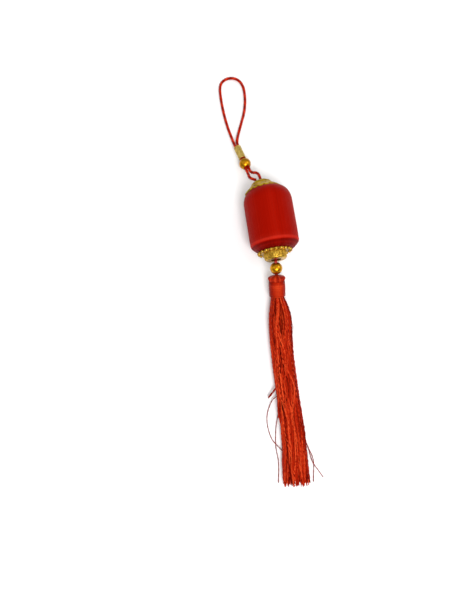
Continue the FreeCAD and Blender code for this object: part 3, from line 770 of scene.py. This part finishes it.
class LANTERN_OT_tassel_head(Operator):
    """Add the tassel's folded head and its thread binding"""
    bl_idname = "lantern.tassel_head"
    bl_label = "Tassel head and binding"

    def execute(self, context):
        settings = context.scene.lantern_tassel
        material = strand_material("tassel_threads_bound", settings, 0.36, 2400.0)
        top = settings.bead_gap
        end = top + settings.head_length
        head = self.head(settings, top, end)
        finish_piece(head, material, "tassel", "tassel_thread", "tassel_head")
        binding = self.binding(settings, end, end + settings.binding_length)
        finish_piece(binding, material, "tassel", "tassel_thread", "tassel_binding")
        return {"FINISHED"}

    def head(self, settings, top, end):
        """Folded threads: a ribbed, rounded cap from the cord's hole over the bulge to the binding."""
        share = np.linspace(0, 1, 30)
        bulge = settings.head_radius * np.sin(np.clip(share * 1.6, 0, 1) * math.pi / 2) ** 0.7
        waist = np.clip((share - 0.55) / 0.45, 0, 1) ** 2 * 0.0008
        radii = np.maximum(bulge - waist, 0.0013)
        heights = top + (end - top) * (0.02 + 0.98 * share ** 1.25)
        outer = np.stack([radii, heights], axis=1)
        inner = np.array([(0.0034, end), (0.0034, top + 0.0022), (0.0012, top + 0.0016)])
        outline = np.concatenate([outer, inner])[::-1]
        count = 46
        generator = np.random.default_rng(5)
        lift = generator.standard_normal(count)

        def folds(profile, angles):
            strand = (angles * count / TURN).astype(int) % count
            crest = np.abs(np.sin(angles * count / 2)) ** 0.7
            share_out = np.clip((profile[:, 0] - 0.0036) / 0.0016, 0, 1)[:, None]
            return share_out * (0.00030 * (crest - 0.9) + 0.00007 * lift[strand])[None]

        def tones(profile, angles):
            strand = (angles * count / TURN).astype(int) % count
            return np.broadcast_to(0.5 + 0.17 * lift[strand][None], (len(profile), len(angles)))

        return turned("tassel_head_folds", TASSEL_BEAD, NECK_DIRECTION, outline, count * 7,
                      ripple=folds, tone=tones)

    def binding(self, settings, start, end):
        """Wound thread: fine, uneven turns, nipped in at both ends, with a painted highlight along the top
        and painted shade round the sides and underneath.
        """
        turns = 34
        rows = turns * 6
        share = np.linspace(0, 1, rows)
        generator = np.random.default_rng(8)
        lift = np.repeat(generator.standard_normal(turns), 6)
        crest = np.abs(np.sin(share * turns * math.pi))
        nip = 0.00018 * (np.exp(-share / 0.04) + np.exp(-(1 - share) / 0.04))
        radii = settings.binding_radius - 0.00016 + 0.00012 * crest + 0.00003 * lift - nip
        outer = np.stack([radii, start + (end - start) * share], axis=1)
        inner_radius = settings.binding_radius - 0.0006
        inner = np.array([(inner_radius, end), (inner_radius, (start + end) / 2), (inner_radius, start)])
        outline = np.concatenate([outer, inner])[::-1]
        tone_rows = np.concatenate([0.1 * lift, np.full(3, 0.0)])[::-1]

        def slant(profile, angles):
            return 0.00003 * np.sin(3 * angles[None] + profile[:, 1][:, None] * 900)

        def tones(profile, angles):
            # Tone is high along the top, a painted highlight, and low round the sides and underneath, a
            # painted shade; tone_rows adds random tone to each turn.
            band = np.clip(np.sin(angles), 0, 1) ** 3
            return np.clip(0.25 + 0.42 * band[None] + tone_rows[:, None], 0, 1)

        return turned("tassel_binding_wound", TASSEL_BEAD, NECK_DIRECTION, outline, 72,
                      ripple=slant, tone=tones)


class LANTERN_OT_tassel_skirt(Operator):
    """Add the skirt's strands, the stray threads and the curled tuft"""
    bl_idname = "lantern.tassel_skirt"
    bl_label = "Tassel skirt"

    def execute(self, context):
        settings = context.scene.lantern_tassel
        material = strand_material("tassel_threads_loose", settings, 0.4, 1800.0)
        generator = np.random.default_rng(21)
        centre, width, height = self.centre_line(settings, STRAND_STEPS)
        paths, tones = self.strands(settings, generator, centre, width, height)
        order = np.argsort(paths[:, 40, 2])
        split = len(order) // 2
        layers = (("skirt_strands_under", order[:split]), ("skirt_strands_over", order[split:]))
        for name, chosen in layers:
            radii = self.radii(settings, generator, len(chosen), paths.shape[1])
            skirt = strand_object(name, paths[chosen], radii, 6, 0.2, 1900.0, tone=tones[chosen])
            nodes = ("tassel_skirt",) if name == "skirt_strands_over" else ()
            finish_piece(skirt, material, "tassel", "tassel_thread", *nodes)
        strays = self.strays()
        finish_piece(strays, material, "tassel", "tassel_thread")
        return {"FINISHED"}

    def centre_line(self, settings, steps):
        """The skirt's middle line, half width and half height, from inside the binding to the end."""
        reach = settings.bead_gap + settings.head_length + settings.binding_length
        neck = TASSEL_BEAD + NECK_DIRECTION * reach
        inside = neck - NECK_DIRECTION * 0.0015
        girth = settings.binding_radius - 0.0009
        rows = [(*inside, girth, girth), (*(neck + NECK_DIRECTION * 0.001), girth + 0.0002, girth)]
        for x, y, half_width, half_height in SKIRT_STATIONS:
            rows.append((GROUND[0] + x, GROUND[1] + y, half_height + 0.0003, half_width, half_height))
        line = smooth_line(rows, steps)
        return line[:, :3], line[:, 3], line[:, 4]

    def strands(self, settings, generator, centre, width, height):
        """Strand paths: a place in the skirt's oval that drifts along it, plus a small curly wave.

        A strand's place is (a, b) in a unit disc. Its path is centre + a * width * side + b * height * rise,
        where a and b wander slowly, and the wave is a little helix of its own length and phase.
        """
        count = settings.strands
        steps = len(centre)
        share = np.linspace(0, 1, steps)[None]
        outer = generator.random(count) < 0.72
        near_rim = 0.86 + 0.08 * generator.random(count)
        within = 0.75 * np.sqrt(generator.random(count))
        reach = np.where(outer, near_rim, within)
        angle = generator.random(count) * TURN
        wander = self.drift(generator, count, steps, 7) * 0.22 * np.minimum(share * 3, 1)
        spread = reach[:, None] + 0.07 * self.drift(generator, count, steps, 9) * share
        turn = angle[:, None] + wander
        across = np.cos(turn) * spread
        upward = np.sin(turn) * spread
        parting = np.exp(-((share - 0.17) / 0.075) ** 2) * np.clip(upward, 0, 1)
        across = across + parting * 0.17 * np.where(across[:, 2:3] > 0.02, 1, -1)
        wave_length = 0.0030 + 0.0016 * generator.random((count, 1))
        distance = share * np.linalg.norm(np.diff(centre, axis=0), axis=1).sum()
        phase = generator.random((count, 1)) * TURN
        size = 0.00020 * (0.6 + 0.8 * generator.random((count, 1))) * np.minimum(share * 6, 1)
        curl_side = size * np.cos(TURN * distance / wave_length + phase)
        curl_rise = size * np.sin(TURN * distance / wave_length + phase)
        tangent, side, rise = (vectors[0] for vectors in path_frames(centre[None]))
        room_wide = (width - settings.strand_radius)[None]
        room_high = (height - settings.strand_radius)[None]
        paths = (centre[None] + (across * room_wide + curl_side)[..., None] * side[None]
                 + (upward * room_high + curl_rise)[..., None] * rise[None])
        cut = 0.955 + 0.045 * generator.random(count) - 0.05 * (generator.random(count) < 0.12)
        paths = self.shorten(paths, cut)
        paths[..., 2] = np.maximum(paths[..., 2], settings.strand_radius * 1.15)
        own = 0.24 * generator.standard_normal((count, 1))
        tones = np.clip(0.5 + own + 0.12 * self.drift(generator, count, steps, 14), 0, 1)
        return paths, tones

    def drift(self, generator, count, steps, knots):
        """Slow random change along each strand, by straight lines between a few random values, smoothed."""
        values = generator.standard_normal((count, knots))
        place = np.linspace(0, knots - 1.001, steps)
        index = place.astype(int)
        part = place - index
        part = part * part * (3 - 2 * part)
        return values[:, index] * (1 - part) + values[:, index + 1] * part

    def shorten(self, paths, cut):
        """Each path cut to its own share of the length, with as many points as before."""
        steps = paths.shape[1]
        place = np.linspace(0, 1, steps)[None] * cut[:, None] * (steps - 1)
        index = np.minimum(place.astype(int), steps - 2)
        part = (place - index)[..., None]
        rows = np.arange(len(paths))[:, None]
        return paths[rows, index] * (1 - part) + paths[rows, index + 1] * part

    def radii(self, settings, generator, count, steps):
        """Strand radii: slightly uneven, thinner at the very end."""
        share = np.linspace(0, 1, steps)[None]
        base = settings.strand_radius * (0.88 + 0.24 * generator.random((count, 1)))
        uneven = 1 + 0.08 * self.drift(generator, count, steps, 30)
        return base * uneven * (1 - 0.45 * np.clip((share - 0.985) / 0.015, 0, 1))

    def strays(self):
        """Single threads that have come loose, each a smooth line through a few points, and the tuft."""
        lines = (
            ((-0.0120, -0.1120, 0.0030), (-0.0169, -0.1152, 0.0015), (-0.0211, -0.1228, 0.0007),
             (-0.0222, -0.1308, 0.0006), (-0.0208, -0.1390, 0.0006), (-0.0175, -0.1443, 0.0010),
             (-0.0143, -0.1486, 0.0030)),
            ((-0.0120, -0.1200, 0.0030), (-0.0142, -0.1238, 0.0020), (-0.0173, -0.1331, 0.0007),
             (-0.0191, -0.1441, 0.0006), (-0.0190, -0.1537, 0.0007), (-0.0211, -0.1660, 0.0006)),
            ((0.0006, -0.0620, 0.0070), (0.0020, -0.0648, 0.0060), (0.0041, -0.0691, 0.0040),
             (0.0034, -0.0733, 0.0040), (0.0016, -0.0768, 0.0040)),
            ((-0.0010, -0.1420, 0.0030), (0.0009, -0.1470, 0.0020), (0.0022, -0.1560, 0.0008),
             (0.0050, -0.1620, 0.0007), (0.0074, -0.1668, 0.0006)),
            ((-0.0010, -0.1400, 0.0030), (0.0012, -0.1480, 0.0020), (0.0030, -0.1560, 0.0008),
             (0.0009, -0.1685, 0.0006)),
        )
        paths = GROUND + np.array([smooth_line(line, STRAND_STEPS) for line in lines])
        radii = np.full(paths.shape[:2], STRAY_RADIUS)
        radii[2] = FINE_STRAY_RADIUS
        tuft = GROUND + smooth_line(((-0.0110, -0.1045, 0.0050), (-0.0133, -0.1076, 0.0040),
                                     (-0.0159, -0.1104, 0.0030), (-0.0191, -0.1132, 0.0020)), STRAND_STEPS)
        tufts = []
        for shift in range(3):
            tufts.append(tuft + np.array([0.0002 * shift, 0.0004 * shift, 0.00035 * (shift % 2)]))
        paths = np.concatenate([paths, np.array(tufts)])
        radii = np.concatenate([radii, np.full((3, STRAND_STEPS), TUFT_RADIUS)])
        paths[..., 2] = np.maximum(paths[..., 2], radii * 1.15)
        tones = np.full(paths.shape[:2], STRAY_TONE)
        return strand_object("skirt_strays", paths, radii, 6, 0.15, 1900.0, tone=tones)


class LANTERN_PT_panel(Panel):
    """Lists the lantern's pieces"""
    bl_idname = "LANTERN_PT_panel"
    bl_label = "Lantern Charm"
    bl_space_type = "VIEW_3D"
    bl_region_type = "UI"
    bl_category = "Lantern"

    def draw(self, context):
        for operator in OPERATORS:
            self.layout.operator(operator.bl_idname)


OPERATORS = (
    LANTERN_OT_stage,
    LANTERN_OT_cord_pieces,
    LANTERN_OT_hanging_cord,
    LANTERN_OT_winding,
    LANTERN_OT_fittings,
    LANTERN_OT_tassel_head,
    LANTERN_OT_tassel_skirt,
)
SETTINGS = {
    "lantern_winding": LanternWindingSettings,
    "lantern_cord": LanternCordSettings,
    "lantern_tassel": LanternTasselSettings,
    "lantern_gilt": LanternGiltSettings,
    "lantern_stage": LanternStageSettings,
}


def register():
    for kind in (*SETTINGS.values(), *OPERATORS, LANTERN_PT_panel):
        bpy.utils.register_class(kind)
    for name, kind in SETTINGS.items():
        setattr(bpy.types.Scene, name, PointerProperty(type=kind))


def unregister():
    for name in SETTINGS:
        delattr(bpy.types.Scene, name)
    for kind in reversed((*SETTINGS.values(), *OPERATORS, LANTERN_PT_panel)):
        bpy.utils.unregister_class(kind)


def main():
    register()
    for operator in OPERATORS:
        group, name = operator.bl_idname.split(".")
        getattr(getattr(bpy.ops, group), name)()


if __name__ == "__main__":
    main()
